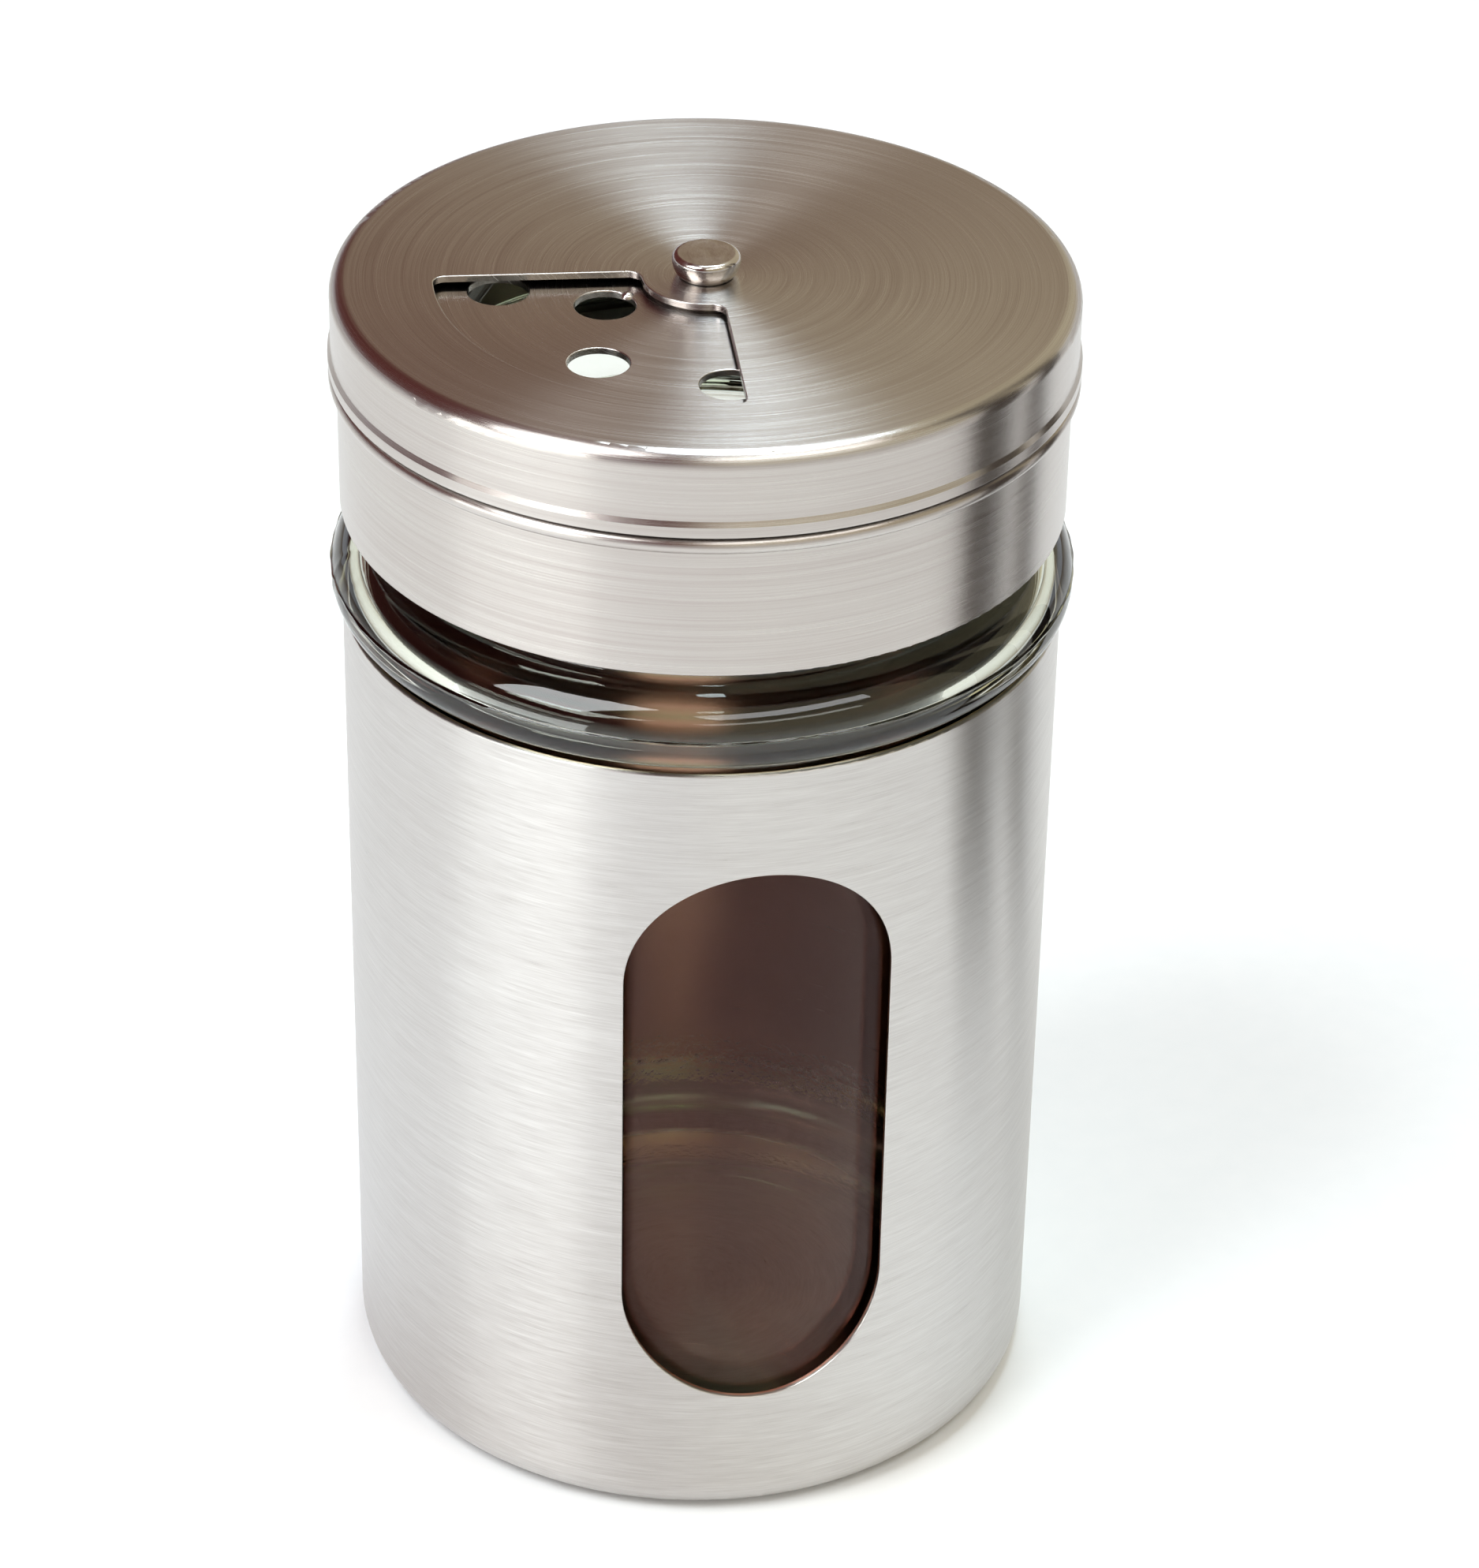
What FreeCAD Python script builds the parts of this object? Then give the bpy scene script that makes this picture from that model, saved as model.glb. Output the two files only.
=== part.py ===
import FreeCAD, Part
import math
import os

# Rotating-lid spice shaker: a glass jar in a brushed steel sleeve, with a two-part steel lid.
#
# Units are millimetres. +Z is up. The origin is at the centre of the ring the shaker stands on.
# The viewing window in the sleeve faces -Y. Angles round the axis are in degrees from -Y
# towards +X, which is anticlockwise seen from above.

# ---- shared ----
SHEET = 0.45  # thickness of every drawn steel sheet
RIM_EDGE = 0.12  # rounding of the sheets' free rims
PUNCH_EDGE = 0.08  # rounding round the top of everything punched out of a sheet
TOUCH = 0.3  # how far a ridge reaches into its neighbour, so that they join cleanly
OVERSHOOT = 1.0  # how far a cutter reaches past what it cuts
SAME = 0.01  # two lengths closer than this count as equal

# ---- steel sleeve ----
SLEEVE_R = 24.65
SLEEVE_TOP = 62.2
SLEEVE_HEEL = 2.4  # outer radius of the bend between wall and floor
STAND_RING_R = 16.5  # inside this radius the floor is lifted off the table
PANEL_R = 15.5
PANEL_LIFT = 0.5
WINDOW_LOW = 10.45
WINDOW_HIGH = 54.3
WINDOW_HALF_WIDTH = 9.11

# ---- glass jar ----
GLASS_R = 23.75
GLASS_WALL = 2.0
GLASS_HEEL = 3.0
GLASS_FLOOR = 4.6  # thickness of the base at its edge
PUSH_UP_R = 18.6  # inner edge of the ring the jar stands on
PUSH_UP_RISE = 2.15
INNER_HEEL = 4.2
WIDEST_R = 25.4  # the jar bulges over the sleeve's rim
WIDEST_Z = 64.3
SHOULDER_ROUND = 3.3  # radius of the bulge's section above its widest height
SHOULDER_WALL = 2.45
UNDER_ROUND = 1.75  # and below it
NECK_R = 21.8
NECK_FILLET = 0.6
MOUTH_R = 19.3
MOUTH_RIM_Z = 82.65
RIM_ROUND = 0.8
HOLLOW_UNDER_ROUND = 8.0  # radius of the bulge's hollow below its widest height
THROAT_ROUND = 5.0  # inside corner between the bulge's hollow and the neck
FLARE_ROUND = 8.0  # inside corner between the bulge's hollow and the wall
MOULD_SEAM_PROUD = 0.12
MOULD_SEAM_WIDTH = 0.5
MOULD_SEAM_ANGLE = -90.4  # the second seam is opposite

# ---- screw thread between jar and lid ----
THREAD_PITCH = 4.2
THREAD_DEPTH = 0.95
THREAD_ROOT_WIDTH = 1.9
THREAD_CREST_WIDTH = 0.8
THREAD_CLEARANCE = 0.3
JAR_THREAD_Z = 73.6
JAR_THREAD_TURNS = 1.2
LID_THREAD_TURNS = 1.0

# ---- lower cap, the perforated plate with a skirt ----
CAP_R = 24.65
CAP_BOTTOM = 69.8
CAP_UPPER_R = 24.2  # the drawn-in part that the dial turns over
CAP_BEAD_Z = 79.45
CAP_BEAD_RADIUS = 0.55
CAP_CORNER = 1.2
PLATE_TOP = 85.2
BOSS_R = 3.5
BOSS_RISE = 0.3
SHAKE_HOLE_R = 2.05
SHAKE_HOLES = ((13.8, -95.2), (7.3, -75.5), (13.1, -42.0), (14.0, -3.5))  # radius, angle
POUR_ANGLE = 70.4  # a third of a turn from the dial's window; the last third is closed
POUR_SPAN = 80.0
POUR_INNER_R = 5.3
DETENT_RADIUS = 5.4
DETENT_ANGLE = -84.0
DETENT_HALF_WIDTH = 0.4
DETENT_RISE = 0.2

# ---- plastic thread insert ----
INSERT_BOTTOM = 70.3
INSERT_FLANGE = 1.1
INSERT_FLANGE_INNER_R = 19.6
INSERT_UNDER_BEAD = 79.0  # above this the insert narrows with the cap

# ---- mouth seal ----
SEAL_THICKNESS = 1.0
SEAL_INNER_R = 19.6
SEAL_OUTER_R = 22.8

# ---- dial, the turning top with a sector window ----
DIAL_R = 25.0
DIAL_TOP = 86.0
DIAL_CORNER = 1.0
DIAL_BOTTOM = 80.2
DIAL_LIP_R = 25.2
DIAL_LIP_Z = 81.0
DIAL_LIP_RAMP = 0.35
DIAL_WINDOW_ANGLE = -49.6
DIAL_WINDOW_SPAN = 91.2
WINDOW_INNER_R = 4.3
WINDOW_OUTER_R = 18.1
WINDOW_EDGE_OFFSET = 0.75  # the straight edges run this far outside the radial lines
WINDOW_INNER_ROUND = 0.9
WINDOW_OUTER_ROUND = 0.8

# ---- centre rivet and the washers under the plate ----
RIVET_R = 1.5
RIVET_CLEARANCE = 0.05
RIVET_HEAD_R = 2.3
RIVET_HEAD_GAP = 0.06
RIVET_TOP = 87.65
RIVET_HEAD_ROUND = 0.4
RIVET_HEAD_WIDEST_Z = 87.2
RIVET_SIDE_RADIUS = 1.6  # the head's side draws in towards the dial on this radius
WAVE_HEIGHT = 0.55
WAVE_SHEET = 0.2
WAVE_INNER_R = 1.65
WAVE_OUTER_R = 3.1
WAVE_COUNT = 3
WAVE_POINTS = 8  # points that shape each wave
WASHER_THICKNESS = 0.5
WASHER_R = 3.8
RIVET_TAIL_R = 2.4
RIVET_TAIL_HEIGHT = 0.6

# ---- worked out from the above ----
SLEEVE_INNER_R = SLEEVE_R - SHEET
GLASS_INNER_R = GLASS_R - GLASS_WALL
GLASS_BOTTOM = SHEET
SHOULDER_R = WIDEST_R - SHOULDER_ROUND
UNDER_R = WIDEST_R - UNDER_ROUND
HOLLOW_ROUND = SHOULDER_ROUND - SHOULDER_WALL
HOLLOW_UNDER_R = WIDEST_R - SHOULDER_WALL - HOLLOW_UNDER_ROUND
CAP_INNER_R = CAP_R - SHEET
CAP_UPPER_INNER_R = CAP_UPPER_R - SHEET
PLATE_UNDER = PLATE_TOP - SHEET
INSERT_INNER_R = NECK_R + THREAD_DEPTH + THREAD_CLEARANCE
INSERT_FLANGE_Z = PLATE_UNDER - INSERT_FLANGE
RIVET_HEAD_Z = DIAL_TOP + RIVET_HEAD_GAP
BOSS_UNDER = PLATE_UNDER + BOSS_RISE
WASHER_TOP = BOSS_UNDER - WAVE_HEIGHT
WASHER_BOTTOM = WASHER_TOP - WASHER_THICKNESS
RIVET_BOTTOM = WASHER_BOTTOM - RIVET_TAIL_HEIGHT


class Outline:
    """A closed outline of lines and arcs in the half plane (radius, height)."""

    def __init__(self, r, z):
        self.start = FreeCAD.Vector(r, 0, z)
        self.point = self.start
        self.edges = []

    def line(self, r, z):
        end = FreeCAD.Vector(r, 0, z)
        if end.distanceToPoint(self.point) > 1e-6:
            self.edges.append(Part.LineSegment(self.point, end).toShape())
            self.point = end
        return self

    def arc(self, centre_r, centre_z, radius, from_deg, to_deg):
        """An arc about a centre, joined to the last point by a line. 0 degrees is outwards."""
        points = []
        for degrees in (from_deg, (from_deg + to_deg) / 2, to_deg):
            angle = math.radians(degrees)
            r = centre_r + radius * math.cos(angle)
            z = centre_z + radius * math.sin(angle)
            points.append(FreeCAD.Vector(r, 0, z))
        self.line(points[0].x, points[0].z)
        self.edges.append(Part.Arc(self.point, points[1], points[2]).toShape())
        self.point = points[2]
        return self

    def turned(self):
        """The solid that the outline makes when it is turned about the Z axis."""
        self.line(self.start.x, self.start.z)
        face = Part.Face(Part.Wire(self.edges))
        return face.revolve(FreeCAD.Vector(0, 0, 0), FreeCAD.Vector(0, 0, 1), 360)


def toward(angle, radius=1.0, z=0.0):
    """The point at an angle from -Y towards +X, at a radius and a height."""
    turn = math.radians(angle)
    return FreeCAD.Vector(radius * math.sin(turn), -radius * math.cos(turn), z)


def cylinder(radius, low, high, centre=FreeCAD.Vector(0, 0, 0)):
    base = FreeCAD.Vector(centre.x, centre.y, low)
    return Part.makeCylinder(radius, high - low, base)


def sector_cutter(angle, span, inner_r, outer_r, low, high):
    """A block for cutting a sector window, with every corner rounded."""
    corners = {}
    for side in (-1, 1):
        edge = angle + side * span / 2
        outward = toward(edge + 90 * side) * WINDOW_EDGE_OFFSET
        for radius in (inner_r, outer_r):
            along = math.sqrt(radius ** 2 - WINDOW_EDGE_OFFSET ** 2)
            corners[side, radius] = toward(edge, along) + outward
    wire = Part.Wire([
        Part.Arc(corners[-1, outer_r], toward(angle, outer_r), corners[1, outer_r]).toShape(),
        Part.LineSegment(corners[1, outer_r], corners[1, inner_r]).toShape(),
        Part.Arc(corners[1, inner_r], toward(angle, inner_r), corners[-1, inner_r]).toShape(),
        Part.LineSegment(corners[-1, inner_r], corners[-1, outer_r]).toShape(),
    ])
    block = Part.Face(wire).extrude(FreeCAD.Vector(0, 0, high - low))
    block.translate(FreeCAD.Vector(0, 0, low))
    rounds = {inner_r: WINDOW_INNER_ROUND, outer_r: WINDOW_OUTER_ROUND}
    for radius, fillet in rounds.items():
        upright = []
        for edge in block.Edges:
            middle = edge.CenterOfMass
            flat_distance = math.hypot(middle.x, middle.y)
            on_corner = abs(flat_distance - radius) < WINDOW_EDGE_OFFSET
            if edge.BoundBox.ZLength > (high - low) / 2 and on_corner:
                upright.append(edge)
        block = block.makeFillet(fillet, upright)
    return block


def soften(shape, height, nearest, furthest):
    """Rounds the level edges at a height whose points lie between two distances from the axis."""
    chosen = []
    for edge in shape.Edges:
        box = edge.BoundBox
        spread = []
        for share in (0, 0.5, 1):
            reach = edge.FirstParameter + share * (edge.LastParameter - edge.FirstParameter)
            point = edge.valueAt(reach)
            spread.append(math.hypot(point.x, point.y))
        level = box.ZLength < SAME and abs(box.ZMin - height) < SAME
        if level and min(spread) > nearest and max(spread) < furthest:
            chosen.append(edge)
    return shape.makeFillet(PUNCH_EDGE, chosen)


def thread_ridge(wall_r, direction, turns, z_start):
    """A helical ridge on a wall. direction is 1 for an outside thread, -1 for an inside one."""
    root_r = wall_r - direction * TOUCH
    crest_r = wall_r + direction * THREAD_DEPTH
    root_half = THREAD_ROOT_WIDTH / 2
    crest_half = THREAD_CREST_WIDTH / 2
    profile = Part.makePolygon([
        FreeCAD.Vector(root_r, 0, -root_half),
        FreeCAD.Vector(wall_r, 0, -root_half),
        FreeCAD.Vector(crest_r, 0, -crest_half),
        FreeCAD.Vector(crest_r, 0, crest_half),
        FreeCAD.Vector(wall_r, 0, root_half),
        FreeCAD.Vector(root_r, 0, root_half),
        FreeCAD.Vector(root_r, 0, -root_half),
    ])
    helix = Part.makeHelix(THREAD_PITCH, THREAD_PITCH * turns, wall_r)
    ridge = Part.Wire(helix.Edges).makePipeShell([profile], True, True)
    ridge.translate(FreeCAD.Vector(0, 0, z_start))
    return ridge


def outer_sleeve():
    """Drawn steel cup with a lifted floor panel and a round-ended window in its wall."""
    heel_r = SLEEVE_R - SLEEVE_HEEL
    cup = (
        Outline(0, PANEL_LIFT)
        .line(PANEL_R, PANEL_LIFT)
        .line(STAND_RING_R, 0)
        .arc(heel_r, SLEEVE_HEEL, SLEEVE_HEEL, -90, 0)
        .arc(SLEEVE_R - RIM_EDGE, SLEEVE_TOP - RIM_EDGE, RIM_EDGE, 0, 90)
        .arc(SLEEVE_INNER_R + RIM_EDGE, SLEEVE_TOP - RIM_EDGE, RIM_EDGE, 90, 180)
        .arc(heel_r, SLEEVE_HEEL, SLEEVE_HEEL - SHEET, 0, -90)
        .line(STAND_RING_R, SHEET)
        .line(PANEL_R, PANEL_LIFT + SHEET)
        .line(0, PANEL_LIFT + SHEET)
        .turned()
    )
    low = WINDOW_LOW + WINDOW_HALF_WIDTH
    high = WINDOW_HIGH - WINDOW_HALF_WIDTH
    left = -WINDOW_HALF_WIDTH
    right = WINDOW_HALF_WIDTH
    wire = Part.Wire([
        Part.LineSegment(FreeCAD.Vector(left, 0, low), FreeCAD.Vector(left, 0, high)).toShape(),
        Part.Arc(
            FreeCAD.Vector(left, 0, high),
            FreeCAD.Vector(0, 0, WINDOW_HIGH),
            FreeCAD.Vector(right, 0, high),
        ).toShape(),
        Part.LineSegment(FreeCAD.Vector(right, 0, high), FreeCAD.Vector(right, 0, low)).toShape(),
        Part.Arc(
            FreeCAD.Vector(right, 0, low),
            FreeCAD.Vector(0, 0, WINDOW_LOW),
            FreeCAD.Vector(left, 0, low),
        ).toShape(),
    ])
    window = Part.Face(wire).extrude(FreeCAD.Vector(0, -2 * SLEEVE_R, 0))
    cup = cup.cut(window)
    rim = []
    for edge in cup.Edges:
        box = edge.BoundBox
        in_front = abs(edge.CenterOfMass.x) < WINDOW_HALF_WIDTH + SAME and box.YMax < 0
        between = WINDOW_LOW - SAME < box.ZMin and box.ZMax < WINDOW_HIGH + SAME
        reaches = []
        for along in (edge.FirstParameter, edge.LastParameter):
            point = edge.valueAt(along)
            reaches.append(math.hypot(point.x, point.y))
        if in_front and between and min(reaches) > SLEEVE_R - SAME:
            rim.append(edge)
    return cup.makeFillet(PUNCH_EDGE, rim)


def corner(bulge_r, bulge_round, wall_r, corner_round, side):
    """Where an arc about the jar's widest height runs into the corner arc of an upright wall.

    Gives the arc's end in degrees and the height of the corner's centre. side is 1 for a wall
    above the widest height and -1 for one below it.
    """
    reach = bulge_round + corner_round
    turn = math.acos((wall_r + corner_round - bulge_r) / reach)
    return math.degrees(turn), WIDEST_Z + side * reach * math.sin(turn)


def glass_outside():
    """The jar's outer form as a solid: foot, wall, bulging shoulder, neck and rounded mouth."""
    push_up_radius = (PUSH_UP_R ** 2 + PUSH_UP_RISE ** 2) / (2 * PUSH_UP_RISE)
    push_up_top = GLASS_BOTTOM + PUSH_UP_RISE
    push_up_half = math.degrees(math.asin(PUSH_UP_R / push_up_radius))
    heel_r = GLASS_R - GLASS_HEEL
    under_end = math.degrees(math.acos((GLASS_R - UNDER_R) / UNDER_ROUND))
    shoulder_end, fillet_z = corner(SHOULDER_R, SHOULDER_ROUND, NECK_R, NECK_FILLET, 1)
    return (
        Outline(0, push_up_top)
        .arc(0, push_up_top - push_up_radius, push_up_radius, 90, 90 - push_up_half)
        .arc(heel_r, GLASS_BOTTOM + GLASS_HEEL, GLASS_HEEL, -90, 0)
        .arc(UNDER_R, WIDEST_Z, UNDER_ROUND, -under_end, 0)
        .arc(SHOULDER_R, WIDEST_Z, SHOULDER_ROUND, 0, shoulder_end)
        .arc(NECK_R + NECK_FILLET, fillet_z, NECK_FILLET, 180 + shoulder_end, 180)
        .arc(NECK_R - RIM_ROUND, MOUTH_RIM_Z - RIM_ROUND, RIM_ROUND, 0, 90)
        .line(0, MOUTH_RIM_Z)
        .turned()
    )


def glass_inside():
    """The hollow of the jar: flat floor, rounded heel, wall, bulging shoulder and throat."""
    floor = GLASS_BOTTOM + GLASS_FLOOR
    flare_end, flare_z = corner(
        HOLLOW_UNDER_R, HOLLOW_UNDER_ROUND, GLASS_INNER_R, FLARE_ROUND, -1
    )
    throat_end, throat_z = corner(SHOULDER_R, HOLLOW_ROUND, MOUTH_R, THROAT_ROUND, 1)
    rim_r = MOUTH_R + RIM_ROUND
    return (
        Outline(0, floor)
        .arc(GLASS_INNER_R - INNER_HEEL, floor + INNER_HEEL, INNER_HEEL, -90, 0)
        .arc(GLASS_INNER_R + FLARE_ROUND, flare_z, FLARE_ROUND, 180, 180 - flare_end)
        .arc(HOLLOW_UNDER_R, WIDEST_Z, HOLLOW_UNDER_ROUND, -flare_end, 0)
        .arc(SHOULDER_R, WIDEST_Z, HOLLOW_ROUND, 0, throat_end)
        .arc(MOUTH_R + THROAT_ROUND, throat_z, THROAT_ROUND, 180 + throat_end, 180)
        .arc(rim_r, MOUTH_RIM_Z - RIM_ROUND, RIM_ROUND, 180, 90)
        .line(0, MOUTH_RIM_Z)
        .turned()
    )


def glass_jar():
    """Clear glass jar with a screw thread on its neck and two mould seams over its shoulder."""
    ridge = thread_ridge(NECK_R, 1, JAR_THREAD_TURNS, JAR_THREAD_Z)
    jar = glass_outside()
    seam_under = UNDER_ROUND + MOULD_SEAM_PROUD
    seam_over = SHOULDER_ROUND + MOULD_SEAM_PROUD
    seam_ring = (
        Outline(SHOULDER_R, WIDEST_Z - seam_under)
        .arc(UNDER_R, WIDEST_Z, seam_under, -90, 0)
        .arc(SHOULDER_R, WIDEST_Z, seam_over, 0, 90)
        .turned()
    )
    for angle in (MOULD_SEAM_ANGLE, MOULD_SEAM_ANGLE + 180):
        slab = Part.makeBox(MOULD_SEAM_WIDTH, 2 * SHOULDER_ROUND, seam_under + seam_over)
        slab.translate(FreeCAD.Vector(
            -MOULD_SEAM_WIDTH / 2, -SHOULDER_R - 2 * SHOULDER_ROUND, WIDEST_Z - seam_under
        ))
        slab.rotate(FreeCAD.Vector(0, 0, 0), FreeCAD.Vector(0, 0, 1), angle)
        jar = jar.fuse(seam_ring.common(slab))
    return jar.fuse(ridge).cut(glass_inside())


def shaker_cap():
    """Lower steel cap: perforated plate, drawn-in upper wall, bead and plain skirt."""
    corner_r = CAP_UPPER_R - CAP_CORNER
    corner_z = PLATE_TOP - CAP_CORNER
    bead_top = CAP_BEAD_Z + CAP_BEAD_RADIUS
    cap = (
        Outline(RIVET_R, BOSS_UNDER)
        .line(BOSS_R - SHEET / 2, BOSS_UNDER)
        .line(BOSS_R, PLATE_UNDER)
        .arc(corner_r, corner_z, CAP_CORNER - SHEET, 90, 0)
        .line(CAP_UPPER_INNER_R, bead_top)
        .line(CAP_INNER_R, CAP_BEAD_Z)
        .arc(CAP_INNER_R + RIM_EDGE, CAP_BOTTOM + RIM_EDGE, RIM_EDGE, 180, 270)
        .arc(CAP_R - RIM_EDGE, CAP_BOTTOM + RIM_EDGE, RIM_EDGE, -90, 0)
        .arc(CAP_R, CAP_BEAD_Z, CAP_BEAD_RADIUS, -90, 90)
        .line(CAP_UPPER_R, bead_top)
        .arc(corner_r, corner_z, CAP_CORNER, 0, 90)
        .line(BOSS_R + SHEET / 2, PLATE_TOP)
        .line(BOSS_R, PLATE_TOP + BOSS_RISE)
        .line(RIVET_R, PLATE_TOP + BOSS_RISE)
        .turned()
    )
    for radius, angle in SHAKE_HOLES:
        centre = toward(angle, radius)
        cap = cap.cut(cylinder(SHAKE_HOLE_R, PLATE_UNDER - OVERSHOOT, PLATE_TOP + OVERSHOOT, centre))
    cap = cap.cut(sector_cutter(
        POUR_ANGLE,
        POUR_SPAN,
        POUR_INNER_R,
        WINDOW_OUTER_R,
        PLATE_UNDER - OVERSHOOT,
        PLATE_TOP + OVERSHOOT,
    ))
    cap = soften(cap, PLATE_TOP, BOSS_R + SHEET, WINDOW_OUTER_R + SHEET)
    ball_radius = (DETENT_HALF_WIDTH ** 2 + DETENT_RISE ** 2) / (2 * DETENT_RISE)
    ball_centre = toward(DETENT_ANGLE, DETENT_RADIUS, PLATE_TOP + DETENT_RISE - ball_radius)
    detent = Part.makeSphere(ball_radius, ball_centre)
    detent = detent.common(cylinder(CAP_UPPER_R, PLATE_TOP - TOUCH / 2, PLATE_TOP + OVERSHOOT))
    return cap.fuse(detent)


def thread_insert():
    """Plastic liner pressed into the lower cap: it carries the thread and backs the seal."""
    liner = (
        Outline(INSERT_FLANGE_INNER_R, INSERT_FLANGE_Z)
        .line(INSERT_INNER_R, INSERT_FLANGE_Z)
        .line(INSERT_INNER_R, INSERT_BOTTOM)
        .line(CAP_INNER_R, INSERT_BOTTOM)
        .line(CAP_INNER_R, INSERT_UNDER_BEAD)
        .line(CAP_UPPER_INNER_R, INSERT_UNDER_BEAD + SHEET)
        .line(CAP_UPPER_INNER_R, PLATE_TOP - CAP_CORNER)
        .line(CAP_UPPER_R - CAP_CORNER, PLATE_UNDER)
        .line(INSERT_FLANGE_INNER_R, PLATE_UNDER)
        .turned()
    )
    start = JAR_THREAD_Z - THREAD_PITCH / 2
    return liner.fuse(thread_ridge(INSERT_INNER_R, -1, LID_THREAD_TURNS, start))


def mouth_seal():
    """Flat silicone ring between the jar's rim and the insert."""
    low = INSERT_FLANGE_Z - SEAL_THICKNESS
    return cylinder(SEAL_OUTER_R, low, INSERT_FLANGE_Z).cut(
        cylinder(SEAL_INNER_R, low - OVERSHOOT, INSERT_FLANGE_Z + OVERSHOOT)
    )


def dial_cap():
    """Turning steel top: flat disc with a sector window, short skirt with a flared lip."""
    corner_r = DIAL_R - DIAL_CORNER
    corner_z = DIAL_TOP - DIAL_CORNER
    ramp_z = DIAL_LIP_Z + DIAL_LIP_RAMP
    dial = (
        Outline(RIVET_R + RIVET_CLEARANCE, DIAL_TOP - SHEET)
        .arc(corner_r, corner_z, DIAL_CORNER - SHEET, 90, 0)
        .line(DIAL_R - SHEET, ramp_z)
        .line(DIAL_LIP_R - SHEET, DIAL_LIP_Z)
        .arc(DIAL_LIP_R - SHEET + RIM_EDGE, DIAL_BOTTOM + RIM_EDGE, RIM_EDGE, 180, 270)
        .arc(DIAL_LIP_R - RIM_EDGE, DIAL_BOTTOM + RIM_EDGE, RIM_EDGE, -90, 0)
        .line(DIAL_LIP_R, DIAL_LIP_Z)
        .line(DIAL_R, ramp_z)
        .arc(corner_r, corner_z, DIAL_CORNER, 0, 90)
        .line(RIVET_R + RIVET_CLEARANCE, DIAL_TOP)
        .turned()
    )
    dial = dial.cut(sector_cutter(
        DIAL_WINDOW_ANGLE,
        DIAL_WINDOW_SPAN,
        WINDOW_INNER_R,
        WINDOW_OUTER_R,
        DIAL_TOP - SHEET - OVERSHOOT,
        DIAL_TOP + OVERSHOOT,
    ))
    return soften(dial, DIAL_TOP, RIVET_R + SHEET, WINDOW_OUTER_R + SHEET)


def center_rivet():
    """Polished rivet: the dial turns on its shank and its peened tail holds the washers."""
    head_edge = RIVET_HEAD_R - RIVET_HEAD_ROUND
    tail_round = RIVET_TAIL_HEIGHT / 3
    side_centre_r = RIVET_HEAD_R - RIVET_SIDE_RADIUS
    side_drop = RIVET_HEAD_WIDEST_Z - RIVET_HEAD_Z
    side_start = -math.degrees(math.asin(side_drop / RIVET_SIDE_RADIUS))
    return (
        Outline(0, RIVET_BOTTOM)
        .arc(RIVET_TAIL_R - tail_round, RIVET_BOTTOM + tail_round, tail_round, -90, 0)
        .line(RIVET_TAIL_R, WASHER_BOTTOM)
        .line(RIVET_R, WASHER_BOTTOM)
        .line(RIVET_R, RIVET_HEAD_Z)
        .arc(side_centre_r, RIVET_HEAD_WIDEST_Z, RIVET_SIDE_RADIUS, side_start, 0)
        .arc(head_edge, RIVET_TOP - RIVET_HEAD_ROUND, RIVET_HEAD_ROUND, 0, 90)
        .line(0, RIVET_TOP)
        .turned()
    )


def wave_washer():
    """Three-wave spring washer that draws the rivet down and keeps the dial from rattling."""
    steps = WAVE_POINTS * WAVE_COUNT
    swing = (WAVE_HEIGHT - WAVE_SHEET) / 2
    middle = WASHER_TOP + WAVE_HEIGHT / 2
    rims = {}
    for radius in (WAVE_INNER_R, WAVE_OUTER_R):
        for side in (-1, 1):
            points = []
            for step in range(steps):
                angle = step * 360 / steps
                rise = swing * math.cos(math.radians(WAVE_COUNT * angle))
                points.append(toward(angle, radius, middle + rise + side * WAVE_SHEET / 2))
            curve = Part.BSplineCurve()
            curve.interpolate(Points=points, PeriodicFlag=True)
            rims[radius, side] = curve.toShape()
    faces = []
    for first, second in (
        ((WAVE_INNER_R, -1), (WAVE_OUTER_R, -1)),
        ((WAVE_OUTER_R, -1), (WAVE_OUTER_R, 1)),
        ((WAVE_OUTER_R, 1), (WAVE_INNER_R, 1)),
        ((WAVE_INNER_R, 1), (WAVE_INNER_R, -1)),
    ):
        faces.append(Part.makeRuledSurface(rims[first], rims[second]))
    shell = Part.makeShell(faces)
    shell.sewShape()
    return Part.makeSolid(shell)


def backing_washer():
    """Flat steel washer between the wave washer and the rivet's peened tail."""
    return cylinder(WASHER_R, WASHER_BOTTOM, WASHER_TOP).cut(
        cylinder(RIVET_R, WASHER_BOTTOM - OVERSHOOT, WASHER_TOP + OVERSHOOT)
    )


PARTS = {
    "glass_jar": glass_jar,
    "outer_sleeve": outer_sleeve,
    "shaker_cap": shaker_cap,
    "thread_insert": thread_insert,
    "mouth_seal": mouth_seal,
    "dial_cap": dial_cap,
    "center_rivet": center_rivet,
    "wave_washer": wave_washer,
    "backing_washer": backing_washer,
}

os.makedirs("parts", exist_ok=True)
for name, make in PARTS.items():
    shape = make()
    solids = shape.Solids
    print(name, "solids", len(solids), "valid", shape.isValid(), "volume mm3", round(shape.Volume, 2))
    if len(solids) == 1:
        shape = solids[0]
    shape.exportStep(os.path.join("parts", name + ".step"))
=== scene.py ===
import math

import bpy
import numpy as np
from mathutils import Matrix, Vector


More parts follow.
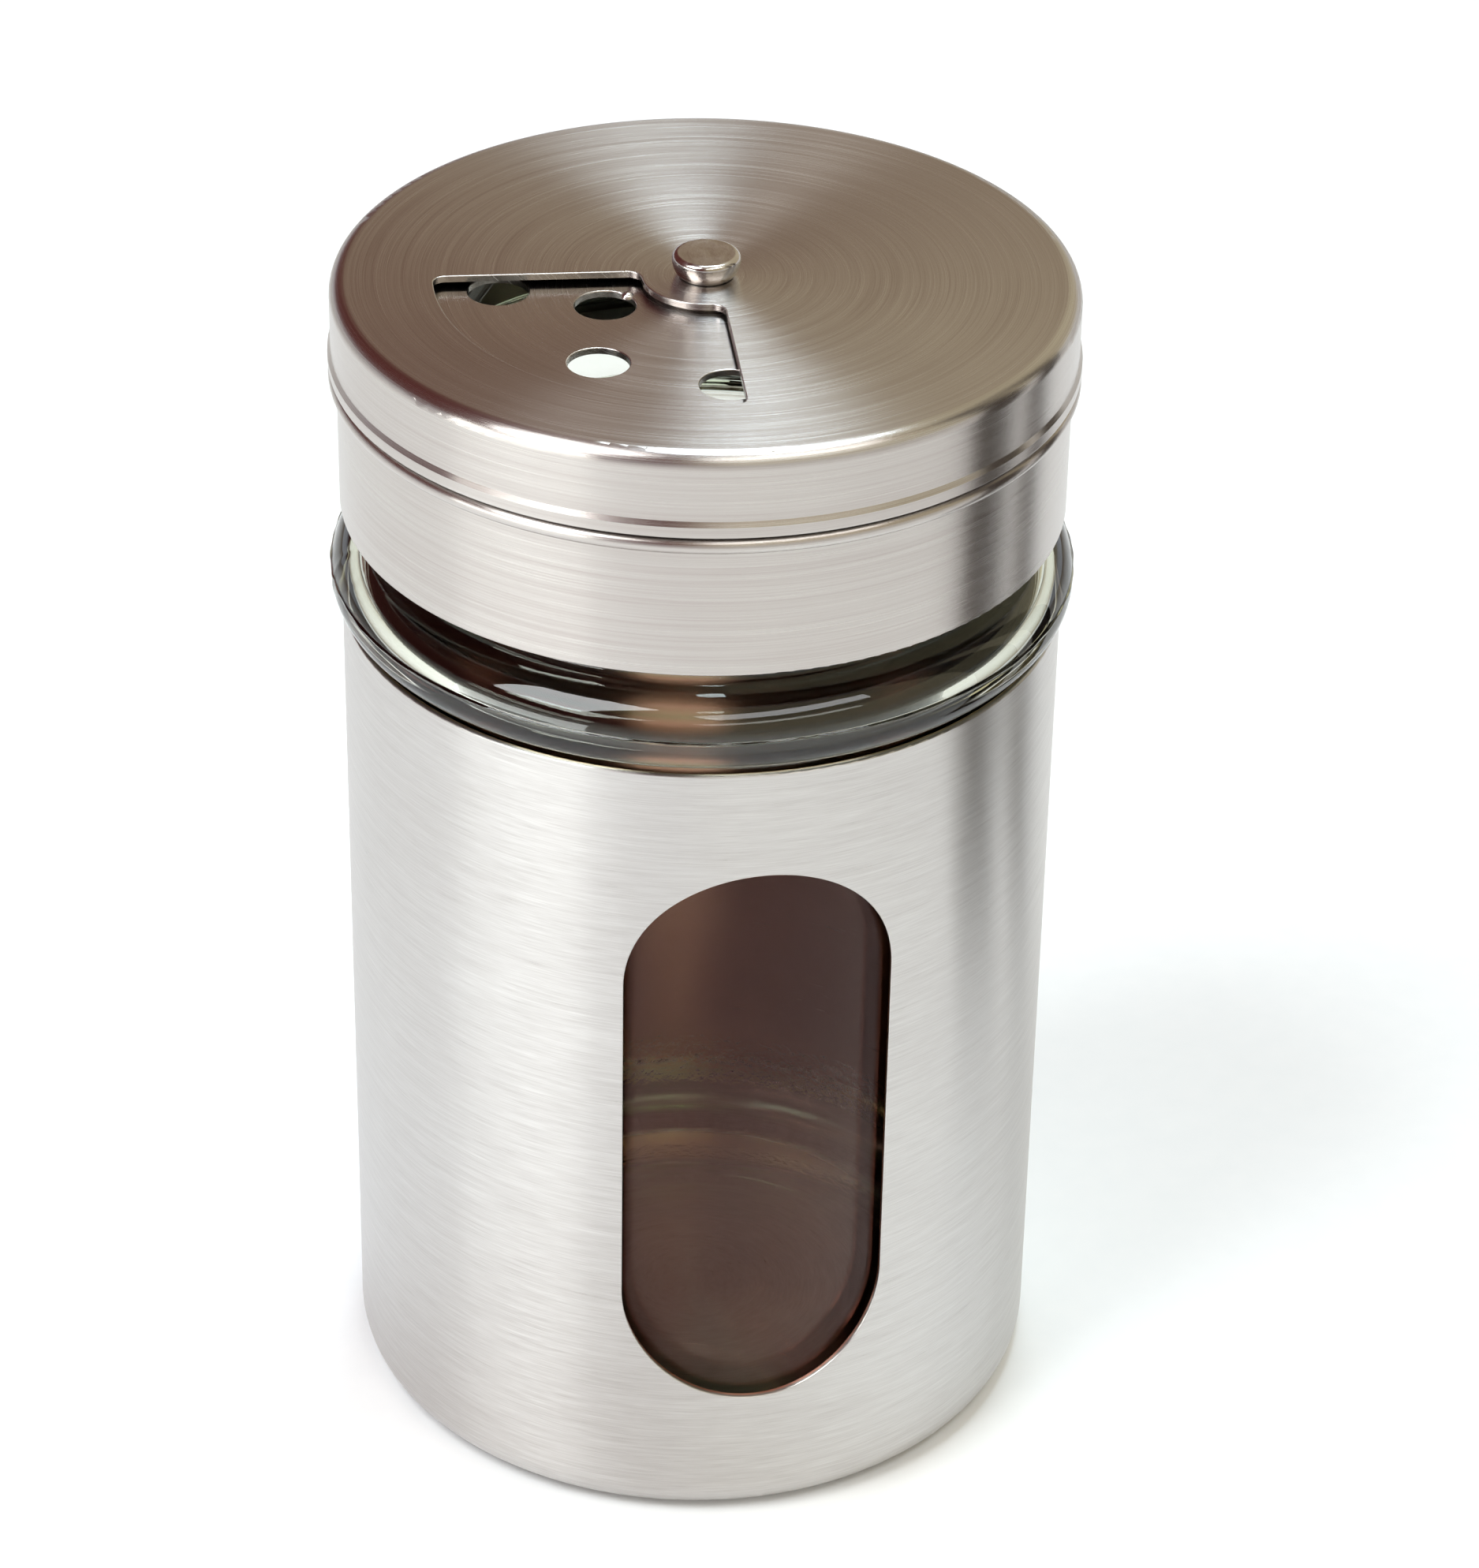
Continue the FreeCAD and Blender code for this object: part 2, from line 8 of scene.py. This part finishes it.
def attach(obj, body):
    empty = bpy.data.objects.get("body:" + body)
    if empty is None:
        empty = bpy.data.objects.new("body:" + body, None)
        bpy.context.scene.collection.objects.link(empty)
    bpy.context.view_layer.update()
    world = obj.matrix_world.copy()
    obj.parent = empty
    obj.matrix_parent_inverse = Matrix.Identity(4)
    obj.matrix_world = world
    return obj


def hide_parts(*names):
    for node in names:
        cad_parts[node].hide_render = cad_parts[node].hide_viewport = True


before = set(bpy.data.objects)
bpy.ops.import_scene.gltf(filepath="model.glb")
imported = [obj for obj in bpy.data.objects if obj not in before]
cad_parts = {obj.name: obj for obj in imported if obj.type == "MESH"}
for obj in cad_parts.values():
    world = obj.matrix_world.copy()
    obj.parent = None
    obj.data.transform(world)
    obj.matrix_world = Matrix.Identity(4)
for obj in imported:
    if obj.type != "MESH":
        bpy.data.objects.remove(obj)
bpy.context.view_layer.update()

MM = 0.001

# Angles round the axis are in degrees from -Y, where the sleeve's window faces, towards +X.

# ---- camera ----
CAMERA_AWAY = 305.08 * MM
CAMERA_HEIGHT = 240.37 * MM
CAMERA_ANGLE = -10.4
CAMERA_YAW = 0.536
CAMERA_PITCH = 32.5
CAMERA_ROLL = 1.108
CAMERA_LENS = 117.85

# ---- dark cards beside the object ----
FLAG_AWAY = 66 * MM
FLAG_LOW = 20 * MM
FLAG_HIGH = 150 * MM

# ---- painted reflection: a brown tint on the gloss of the jar's wall, in place of a brown room's reflection, for the part of it inside the sleeve ----
PAINTED_REFLECTION_LOW = (0.74, 0.39, 0.33)
PAINTED_REFLECTION_HIGH = (0.46, 0.21, 0.19)
GLOSS_PLAIN = (1.0, 1.0, 1.0)

# ---- sleeve, as the CAD has it ----
INSIDE_R = 24.4 * MM

# ---- glass jar, as the CAD has it ----
GLASS_R = 23.75
GLASS_INNER_R = 21.75
GLASS_BOTTOM = 0.45
GLASS_HEEL = 3.0
INNER_FLOOR = 5.05
INNER_HEEL = 4.2
PUSH_UP_R = 18.6
PUSH_UP_RISE = 2.15
WIDEST_R = 25.4
WIDEST_Z = 64.3
SHOULDER_ROUND = 3.3
UNDER_ROUND = 1.75
NECK_R = 21.8
NECK_FILLET = 0.6
MOUTH_R = 19.3
MOUTH_Z = 82.65
RIM_ROUND = 0.8
SHOULDER_WALL = 2.45
HOLLOW_UNDER = 8.0
THROAT_ROUND = 5.0
FLARE_ROUND = 8.0
THREAD_PITCH = 4.2
THREAD_DEPTH = 0.9
THREAD_Z = 73.6
THREAD_TURNS = 1.2
PARTING_Z = 65.1
PARTING_PROUD = 0.12
PARTING_WIDTH = 0.16
SEAM_PROUD = 0.11
SEAM_WIDTH = 0.4
SEAM_ANGLES = (-90.4, 89.6)
JAR_SEGMENTS = 420


def toward(angle, radius=1.0, z=0.0):
    turn = math.radians(angle)
    return Vector((radius * math.sin(turn), -radius * math.cos(turn), z))


# ======== camera, floor and light ========

def add_camera():
    camera = bpy.data.objects.new("camera", bpy.data.cameras.new("camera"))
    bpy.context.scene.collection.objects.link(camera)
    camera.data.lens = CAMERA_LENS
    camera.data.sensor_width = 36
    camera.data.clip_start = 0.01
    heading = math.radians(CAMERA_ANGLE - CAMERA_YAW)
    turn = Matrix.Rotation(heading, 4, "Z")
    tilt = Matrix.Rotation(math.radians(90 - CAMERA_PITCH), 4, "X")
    roll = Matrix.Rotation(math.radians(CAMERA_ROLL), 4, "Z")
    place = Matrix.Translation(toward(CAMERA_ANGLE, CAMERA_AWAY, CAMERA_HEIGHT))
    camera.matrix_world = place @ turn @ tilt @ roll
    bpy.context.scene.camera = camera


def add_softbox(name, angle, elevation, distance, width, height, power, colour):
    """A rectangular light that faces the lid. angle is from the camera, towards its right."""
    light = bpy.data.lights.new(name, "AREA")
    light.shape = "RECTANGLE"
    light.size = width
    light.size_y = height
    light.energy = power
    light.color = colour
    box = bpy.data.objects.new(name, light)
    bpy.context.scene.collection.objects.link(box)
    rise = math.radians(elevation)
    target = Vector((0, 0, 0.07))
    away = toward(CAMERA_ANGLE + angle, distance * math.cos(rise), distance * math.sin(rise))
    box.location = target + away
    turn = Matrix.Rotation(math.radians(CAMERA_ANGLE + angle), 4, "Z")
    tilt = Matrix.Rotation(math.radians(90 - elevation), 4, "X")
    box.matrix_world = Matrix.Translation(target + away) @ turn @ tilt
    box.visible_camera = False


def add_flag(name, start, end):
    """A dark card beside the object, seen only in reflections, between two angles."""
    corners = []
    for angle, z in ((start, FLAG_LOW), (end, FLAG_LOW), (end, FLAG_HIGH), (start, FLAG_HIGH)):
        corners.append(toward(CAMERA_ANGLE + angle, FLAG_AWAY, z))
    mesh = bpy.data.meshes.new(name)
    mesh.from_pydata(corners, [], [(0, 1, 2, 3)])
    card = bpy.data.objects.new(name, mesh)
    bpy.context.scene.collection.objects.link(card)
    felt = Shader(name)
    grain = felt.noise(felt.position(), 300, detail=3)
    felt.link(felt.blend_colours(grain, (0.035, 0.025, 0.02), (0.06, 0.045, 0.035)), "Base Color")
    mesh.materials.append(felt.material)
    card.visible_camera = False
    card.visible_diffuse = False
    card.visible_transmission = False
    card.visible_shadow = False


def add_studio():
    bpy.ops.mesh.primitive_grid_add(x_subdivisions=8, y_subdivisions=8, size=2.6)
    floor = bpy.context.object
    floor.name = "floor"
    paper = Shader("floor_paper")
    paper.set(Roughness=0.7, Specular_IOR_Level=0.2)
    grain = paper.noise(paper.position(), 400, detail=3)
    paper.link(paper.blend_colours(grain, (0.88, 0.91, 0.94), (0.92, 0.94, 0.965)), "Base Color")
    floor.data.materials.append(paper.material)

    add_softbox("softbox_top", 158.5, 72, 0.5, 0.17, 0.17, 1.65, (0.75, 0.9, 1.0))
    add_softbox("softbox_left", -55, 54, 0.6, 0.28, 0.36, 2.9, (0.96, 1.0, 1.0))
    add_softbox("softbox_low", -53, 7, 0.6, 0.46, 0.12, 1.1, (0.96, 1.0, 0.97))
    add_softbox("softbox_right", 35, 58, 0.7, 0.5, 0.13, 1.0, (0.96, 0.98, 1.0))
    add_flag("flag_near", 72.5, 88.5)
    add_flag("flag_far", 95.5, 106.5)

    world = bpy.data.worlds.new("studio")
    world.use_nodes = True
    bpy.context.scene.world = world
    nodes = world.node_tree.nodes
    links = world.node_tree.links
    direction = nodes.new("ShaderNodeSeparateXYZ")
    coordinates = nodes.new("ShaderNodeTexCoord").outputs["Generated"]
    links.new(coordinates, direction.inputs[0])
    rightward = nodes.new("ShaderNodeVectorMath")
    rightward.operation = "DOT_PRODUCT"
    rightward.inputs[1].default_value = toward(CAMERA_ANGLE + 90)
    links.new(coordinates, rightward.inputs[0])
    sideways = nodes.new("ShaderNodeMapRange")
    sideways.interpolation_type = "SMOOTHSTEP"
    sideways.inputs["From Min"].default_value = -0.2
    sideways.inputs["From Max"].default_value = 0.2
    links.new(rightward.outputs["Value"], sideways.inputs["Value"])
    tone = nodes.new("ShaderNodeMixRGB")
    tone.inputs["Color1"].default_value = (0.15, 0.045, 0.04, 1)
    tone.inputs["Color2"].default_value = (0.67, 0.6, 0.43, 1)
    links.new(sideways.outputs[0], tone.inputs["Fac"])
    upward = nodes.new("ShaderNodeMapRange")
    upward.interpolation_type = "SMOOTHSTEP"
    upward.inputs["From Min"].default_value = 0.06
    upward.inputs["From Max"].default_value = 0.16
    links.new(direction.outputs["Z"], upward.inputs["Value"])
    backdrop = nodes.new("ShaderNodeMixRGB")
    backdrop.inputs["Color1"].default_value = (0.92, 0.95, 1.0, 1)
    links.new(upward.outputs[0], backdrop.inputs["Fac"])
    links.new(tone.outputs[0], backdrop.inputs["Color2"])
    links.new(backdrop.outputs[0], nodes["Background"].inputs["Color"])

    view = bpy.context.scene.view_settings
    view.view_transform = "Standard"
    view.exposure = 0.0


# ======== materials ========

class Shader:
    """One material made of nodes, built with short calls. The surface is a Principled shader."""

    def __init__(self, name):
        self.material = bpy.data.materials.new(name)
        self.material.use_nodes = True
        self.tree = self.material.node_tree
        self.surface = self.tree.nodes["Principled BSDF"]

    def set(self, **values):
        """Values for the shader's own sockets, with _ for each space in a socket's name."""
        for name, value in values.items():
            self.surface.inputs[name.replace("_", " ")].default_value = value

    def link(self, output, socket):
        self.tree.links.new(output, self.surface.inputs[socket])

    def node(self, kind, *inputs, **settings):
        made = self.tree.nodes.new("ShaderNode" + kind)
        for name, value in settings.items():
            setattr(made, name, value)
        for index, value in enumerate(inputs):
            if isinstance(value, bpy.types.NodeSocket):
                self.tree.links.new(value, made.inputs[index])
            elif value is not None:
                made.inputs[index].default_value = value
        return made

    def math(self, operation, first, second=0.0):
        return self.node("Math", first, second, operation=operation).outputs[0]

    def position(self):
        return self.node("TexCoord").outputs["Object"]

    def noise(self, vector, scale, detail=2.0, rough=0.5):
        made = self.node("TexNoise", vector)
        made.inputs["Scale"].default_value = scale
        made.inputs["Detail"].default_value = detail
        made.inputs["Roughness"].default_value = rough
        return made.outputs["Fac"]

    def remap(self, value, low, high, to_low, to_high):
        made = self.node("MapRange", value, low, high, to_low, to_high, clamp=True)
        return made.outputs[0]

    def blend_colours(self, share, first, second):
        made = self.node("MixRGB", share, first + (1,), second + (1,))
        return made.outputs[0]

    def height(self):
        return self.node("SeparateXYZ", self.position()).outputs[2]

    def from_axis(self):
        """The level way from the axis to the point shaded."""
        x, y, _ = self.node("SeparateXYZ", self.position()).outputs
        return self.node("CombineXYZ", x, y, 0.0).outputs[0]

    def radius(self):
        return self.node("VectorMath", self.from_axis(), operation="LENGTH").outputs["Value"]

    def round_the_axis(self, around, along):
        """Coordinates in which a pattern is drawn out round the axis, in lines `along` apart."""
        facing = self.node("VectorMath", self.from_axis(), operation="NORMALIZE").outputs[0]
        facing_x, facing_y, _ = self.node("SeparateXYZ", facing).outputs
        return self.node(
            "CombineXYZ",
            self.math("MULTIPLY", facing_x, around),
            self.math("MULTIPLY", facing_y, around),
            self.math("DIVIDE", self.math("SUBTRACT", self.height(), self.radius()), along),
        ).outputs[0]

    def bump(self, height, depth, under=None):
        made = self.node("Bump")
        made.inputs["Strength"].default_value = 1.0
        made.inputs["Distance"].default_value = depth
        self.tree.links.new(height, made.inputs["Height"])
        if under is not None:
            self.tree.links.new(under, made.inputs["Normal"])
        return made.outputs[0]


def brushed_steel(name, dark, light, roughness, streak, around, inside=None):
    """Steel brushed round the axis. streak is the width of the finest lines.

    inside is the tints of the inner face, nearer the axis than INSIDE_R: at its heel a pale
    painted light streak, over most of its height and near the top a brown that is partly the
    unpolished steel's own tone and partly painted shade.
    """
    steel = Shader(name)
    steel.set(Metallic=1.0, Anisotropic=0.93, Anisotropic_Rotation=0.25)
    fine = steel.noise(steel.round_the_axis(around, streak), 1.0, detail=3, rough=0.7)
    lines = steel.noise(steel.round_the_axis(around / 2, 5 * streak), 1.0, detail=3, rough=0.6)
    patches = steel.noise(steel.position(), 90, detail=3)
    mixed = steel.math("ADD", steel.math("MULTIPLY", fine, 0.55), steel.math("MULTIPLY", lines, 0.3))
    mixed = steel.math("ADD", mixed, steel.math("MULTIPLY", patches, 0.15))
    colour = steel.blend_colours(steel.remap(mixed, 0.35, 0.65, 0, 1), dark, light)
    if inside is not None:
        # The heel's pale colour is a painted light streak; the brown over most of the height and the
        # darker top are partly the steel's own tone, partly painted shade.
        heel, middle, top = inside
        height = steel.height()
        tint = steel.blend_colours(steel.remap(height, 40 * MM, 56 * MM, 0, 1), middle, top)
        painted_heel_light = steel.remap(height, 4 * MM, 6 * MM, 1, 0)
        tint = steel.node("MixRGB", painted_heel_light, tint, heel + (1,)).outputs[0]
        within = steel.remap(steel.radius(), INSIDE_R - 0.1 * MM, INSIDE_R + 0.1 * MM, 1, 0)
        above_bend = steel.remap(height, 2.4 * MM, 2.8 * MM, 0, 1)
        within = steel.math("MULTIPLY", within, above_bend)
        colour = steel.node("MixRGB", within, colour, tint).outputs[0]
    steel.link(colour, "Base Color")
    steel.link(steel.remap(mixed, 0.3, 0.7, roughness - 0.05, roughness + 0.05), "Roughness")
    soft = steel.bump(lines, 8e-6)
    steel.link(steel.bump(fine, 4e-6, soft), "Normal")
    tangent = steel.node("Tangent", direction_type="RADIAL", axis="Z")
    steel.link(tangent.outputs[0], "Tangent")
    return steel.material


def polished_steel():
    steel = Shader("polished_steel")
    steel.set(Metallic=1.0, Anisotropic=0.3, Anisotropic_Rotation=0.25)
    wear = steel.noise(steel.position(), 900, detail=4, rough=0.6)
    steel.link(steel.blend_colours(wear, (0.42, 0.38, 0.35), (0.6, 0.56, 0.53)), "Base Color")
    steel.link(steel.remap(wear, 0.3, 0.7, 0.12, 0.26), "Roughness")
    steel.link(steel.bump(wear, 3e-5), "Normal")
    tangent = steel.node("Tangent", direction_type="RADIAL", axis="Z")
    steel.link(tangent.outputs[0], "Tangent")
    return steel.material


def clear_glass():
    """Faintly waved and smeared glass, crazed in a band where the mould chilled its inner heel.

    The gloss is tinted brown on the wall inside the sleeve, a painted reflection of a brown room, and
    plain on the shoulder and neck.
    """
    glass = Shader("clear_glass")
    glass.set(Base_Color=(0.99, 0.99, 0.985, 1), IOR=1.51, Transmission_Weight=1.0)
    waves = glass.noise(glass.position(), 160, detail=2)
    smears = glass.noise(glass.position(), 700, detail=4, rough=0.6)
    above = glass.remap(glass.height(), 5.5 * MM, 6.5 * MM, 0, 1)
    below = glass.remap(glass.height(), 8.5 * MM, 9.5 * MM, 1, 0)
    chilled = glass.math("MULTIPLY", above, below)
    crazed = glass.math("MULTIPLY", glass.noise(glass.position(), 1500, detail=4), chilled)
    smooth = glass.remap(smears, 0.55, 0.75, 0.0, 0.015)
    glass.link(glass.math("ADD", smooth, glass.math("MULTIPLY", crazed, 0.3)), "Roughness")
    glass.link(glass.bump(crazed, 2e-4, glass.bump(waves, 1e-5)), "Normal")
    # Painted reflection: the wall's gloss is tinted brown, paler low down, in place of a brown room's
    # reflection; the shoulder and neck keep plain gloss.
    upper = glass.remap(glass.height(), 28 * MM, 38 * MM, 0, 1)
    painted_wall_reflection = glass.blend_colours(upper, PAINTED_REFLECTION_LOW, PAINTED_REFLECTION_HIGH)
    shoulder = glass.remap(glass.height(), 57 * MM, 59 * MM, 0, 1)
    gloss = glass.node("MixRGB", shoulder, painted_wall_reflection, GLOSS_PLAIN + (1,)).outputs[0]
    glass.link(gloss, "Specular Tint")
    tint = glass.tree.nodes.new("ShaderNodeVolumeAbsorption")
    tint.inputs["Color"].default_value = (0.5, 0.58, 0.34, 1)
    tint.inputs["Density"].default_value = 90
    glass.tree.links.new(tint.outputs[0], glass.tree.nodes["Material Output"].inputs["Volume"])
    return glass.material


def plastic():
    liner = Shader("insert_plastic")
    grain = liner.noise(liner.position(), 2500, detail=3)
    liner.link(liner.blend_colours(grain, (0.06, 0.052, 0.045), (0.09, 0.08, 0.07)), "Base Color")
    liner.link(liner.remap(grain, 0.3, 0.7, 0.38, 0.5), "Roughness")
    liner.link(liner.bump(grain, 1e-5), "Normal")
    return liner.material


def silicone():
    ring = Shader("silicone")
    cloud = ring.noise(ring.position(), 500, detail=3)
    ring.link(ring.blend_colours(cloud, (0.62, 0.62, 0.6), (0.72, 0.72, 0.7)), "Base Color")
    ring.link(ring.remap(cloud, 0.3, 0.7, 0.42, 0.55), "Roughness")
    ring.link(ring.bump(cloud, 2e-5), "Normal")
    return ring.material


# ======== glass jar ========

def arc(centre_r, centre_z, radius, from_deg, to_deg, step):
    """Points of an arc in the half plane (radius, height), about step mm apart."""
    count = max(3, int(abs(math.radians(to_deg - from_deg)) * radius / step) + 1)
    turn = np.radians(np.linspace(from_deg, to_deg, count))
    return np.column_stack([centre_r + radius * np.cos(turn), centre_z + radius * np.sin(turn)])


def run(r0, z0, r1, z1, step):
    count = max(2, int(math.hypot(r1 - r0, z1 - z0) / step) + 1)
    return np.column_stack([np.linspace(r0, r1, count), np.linspace(z0, z1, count)])


def meeting(bulge_r, bulge_round, wall_r, wall_round, side):
    """How far an arc about the widest height turns, in degrees, until a corner arc takes over,
    and the height of that corner's centre. side is 1 above the widest height and -1 below."""
    reach = bulge_round + wall_round
    turn = math.acos((wall_r + wall_round - bulge_r) / reach)
    return math.degrees(turn), WIDEST_Z + side * reach * math.sin(turn)


def jar_outline():
    """The jar's section from the middle of its underside, over the mouth, to its inner floor."""
    push_up = (PUSH_UP_R ** 2 + PUSH_UP_RISE ** 2) / (2 * PUSH_UP_RISE)
    push_top = GLASS_BOTTOM + PUSH_UP_RISE
    push_half = math.degrees(math.asin(PUSH_UP_R / push_up))
    under_r = WIDEST_R - UNDER_ROUND
    under_end = math.degrees(math.acos((GLASS_R - under_r) / UNDER_ROUND))
    under_z = WIDEST_Z - UNDER_ROUND * math.sin(math.radians(under_end))
    shoulder_r = WIDEST_R - SHOULDER_ROUND
    fillet_r = NECK_R + NECK_FILLET
    shoulder_end, fillet_z = meeting(shoulder_r, SHOULDER_ROUND, NECK_R, NECK_FILLET, 1)
    hollow_over = SHOULDER_ROUND - SHOULDER_WALL
    hollow_r = WIDEST_R - SHOULDER_WALL - HOLLOW_UNDER
    flare_end, flare_z = meeting(hollow_r, HOLLOW_UNDER, GLASS_INNER_R, FLARE_ROUND, -1)
    throat_end, throat_z = meeting(shoulder_r, hollow_over, MOUTH_R, THROAT_ROUND, 1)
    heel_r = GLASS_R - GLASS_HEEL
    rim_z = MOUTH_Z - RIM_ROUND
    stretches = [
        arc(0, push_top - push_up, push_up, 89.99, 90 - push_half, 1.2),
        run(PUSH_UP_R, GLASS_BOTTOM, heel_r, GLASS_BOTTOM, 0.6),
        arc(heel_r, GLASS_BOTTOM + GLASS_HEEL, GLASS_HEEL, -90, 0, 0.25),
        run(GLASS_R, GLASS_BOTTOM + GLASS_HEEL, GLASS_R, under_z, 0.9),
        arc(under_r, WIDEST_Z, UNDER_ROUND, -under_end, 0, 0.12),
        arc(shoulder_r, WIDEST_Z, SHOULDER_ROUND, 0, 8, 0.12),
        arc(shoulder_r, WIDEST_Z, SHOULDER_ROUND, 8, 20, 0.025),
        arc(shoulder_r, WIDEST_Z, SHOULDER_ROUND, 20, shoulder_end, 0.12),
        arc(fillet_r, fillet_z, NECK_FILLET, 180 + shoulder_end, 180, 0.12),
        run(NECK_R, fillet_z, NECK_R, rim_z, 0.12),
        arc(NECK_R - RIM_ROUND, rim_z, RIM_ROUND, 0, 90, 0.12),
        arc(MOUTH_R + RIM_ROUND, rim_z, RIM_ROUND, 90, 180, 0.12),
        run(MOUTH_R, rim_z, MOUTH_R, throat_z, 0.6),
        arc(MOUTH_R + THROAT_ROUND, throat_z, THROAT_ROUND, 180, 180 + throat_end, 0.12),
        arc(shoulder_r, WIDEST_Z, hollow_over, throat_end, 0, 0.06),
        arc(hollow_r, WIDEST_Z, HOLLOW_UNDER, 0, -flare_end, 0.2),
        arc(GLASS_INNER_R + FLARE_ROUND, flare_z, FLARE_ROUND, 180 - flare_end, 180, 0.2),
        run(GLASS_INNER_R, flare_z, GLASS_INNER_R, INNER_FLOOR + INNER_HEEL, 0.9),
        arc(GLASS_INNER_R - INNER_HEEL, INNER_FLOOR + INNER_HEEL, INNER_HEEL, 0, -90, 0.25),
        run(GLASS_INNER_R - INNER_HEEL, INNER_FLOOR, 0.01, INNER_FLOOR, 1.5),
    ]
    points = [stretches[0][0]]
    for stretch in stretches:
        for point in stretch:
            if np.hypot(*(point - points[-1])) > 1e-4:
                points.append(point)
    return np.array(points), under_z


def thread_height(turn, z):
    """How far the screw thread stands out, for turns from +X and heights."""
    proud = np.zeros_like(z)
    for lap in (0, 1):
        along = turn + lap
        ends = np.clip(along / 0.06, 0, 1) * np.clip((THREAD_TURNS - along) / 0.06, 0, 1)
        ends = ends * ends * (3 - 2 * ends)
        offset = (z - THREAD_Z - THREAD_PITCH * along) / (THREAD_PITCH / 4)
        ridge = np.clip(1.35 - np.abs(offset) * 1.35, 0, 1)
        proud = np.maximum(proud, THREAD_DEPTH * ends * ridge * ridge * (3 - 2 * ridge))
    return proud


def glass_jar():
    """The jar with its rounded thread, the two mould seams and the slight waves of pressed glass."""
    outline, under_z = jar_outline()
    turns = np.arange(JAR_SEGMENTS) / JAR_SEGMENTS
    turn, radius = np.meshgrid(turns, outline[:, 0], indexing="ij")
    _, height = np.meshgrid(turns, outline[:, 1], indexing="ij")
    angle = 2 * math.pi * turn
    outer = np.zeros(len(outline), bool)
    top = int(np.argmax(outline[:, 1]))
    outer[:top] = True
    outer = np.broadcast_to(outer, radius.shape)
    proud = thread_height(turn, height)
    on_shoulder = np.clip(1 - np.abs(height - WIDEST_Z - 1) / 4, 0, 1)
    for seam in SEAM_ANGLES:
        seam_turn = math.radians(seam - 90)
        apart = np.angle(np.exp(1j * (angle - seam_turn))) * WIDEST_R
        proud += SEAM_PROUD * np.exp(-(apart / (SEAM_WIDTH / 2)) ** 2) * on_shoulder
    waves = (
        0.5 * np.sin(5 * angle + 0.9 * height)
        + 0.3 * np.sin(9 * angle - 1.3 * height + 1)
        + 0.2 * np.sin(17 * angle + 2.1 * height + 2)
    )
    proud += 0.02 * waves * on_shoulder
    uneven = 0.8 + 0.25 * np.sin(23 * angle + 1) * np.sin(7 * angle) + 0.15 * np.sin(61 * angle)
    off_line = height - PARTING_Z - 0.03 * np.sin(4 * angle) - 0.02 * np.sin(13 * angle + 2)
    proud += PARTING_PROUD * uneven * np.exp(-(off_line / (PARTING_WIDTH / 2)) ** 2)
    radius = radius + np.where(outer & (height > under_z), proud, 0)
    x = radius * np.cos(angle) * MM
    y = radius * np.sin(angle) * MM
    vertices = np.column_stack([x.ravel(), y.ravel(), height.ravel() * MM])
    rows = len(outline)
    faces = []
    for segment in range(JAR_SEGMENTS):
        here = segment * rows
        following = (segment + 1) % JAR_SEGMENTS * rows
        for row in range(rows - 1):
            faces.append((here + row, following + row, following + row + 1, here + row + 1))
    under = len(vertices)
    vertices = np.vstack([vertices, (0, 0, outline[0, 1] * MM), (0, 0, outline[-1, 1] * MM)])
    for segment in range(JAR_SEGMENTS):
        here = segment * rows
        following = (segment + 1) % JAR_SEGMENTS * rows
        faces.append((under, following, here))
        faces.append((under + 1, here + rows - 1, following + rows - 1))
    mesh = bpy.data.meshes.new("jar_glass")
    mesh.from_pydata(vertices.tolist(), [], faces)
    mesh.shade_smooth()
    jar = bpy.data.objects.new("jar_glass", mesh)
    bpy.context.scene.collection.objects.link(jar)
    return jar


# ======== the model ========

add_camera()
add_studio()

lid_steel = brushed_steel("lid_steel", (0.43, 0.385, 0.365), (0.58, 0.555, 0.53), 0.25, 0.07 * MM, 1.2)
# Inner face of the sleeve: a painted light streak at the heel, then a brown that is partly the steel's
# own tone, partly painted shade.
sleeve_steel = brushed_steel(
    "sleeve_steel", (0.49, 0.465, 0.45), (0.65, 0.635, 0.62), 0.31, 0.08 * MM, 7,
    ((0.98, 0.95, 0.65), (0.8, 0.4, 0.3), (0.46, 0.36, 0.22)),
)
spring_steel = brushed_steel("spring_steel", (0.4, 0.4, 0.41), (0.52, 0.52, 0.53), 0.3, 0.1 * MM, 3)
FINISHES = {
    "outer_sleeve": sleeve_steel,
    "shaker_cap": lid_steel,
    "dial_cap": lid_steel,
    "center_rivet": polished_steel(),
    "wave_washer": spring_steel,
    "backing_washer": spring_steel,
    "thread_insert": plastic(),
    "mouth_seal": silicone(),
}
glass = clear_glass()
for name, finish in FINISHES.items():
    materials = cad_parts[name].data.materials
    materials.clear()
    materials.append(finish)

jar = glass_jar()
jar.data.materials.append(glass)
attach(jar, "jar")
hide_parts("glass_jar")
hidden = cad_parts["glass_jar"].data.materials
hidden.clear()
hidden.append(glass)
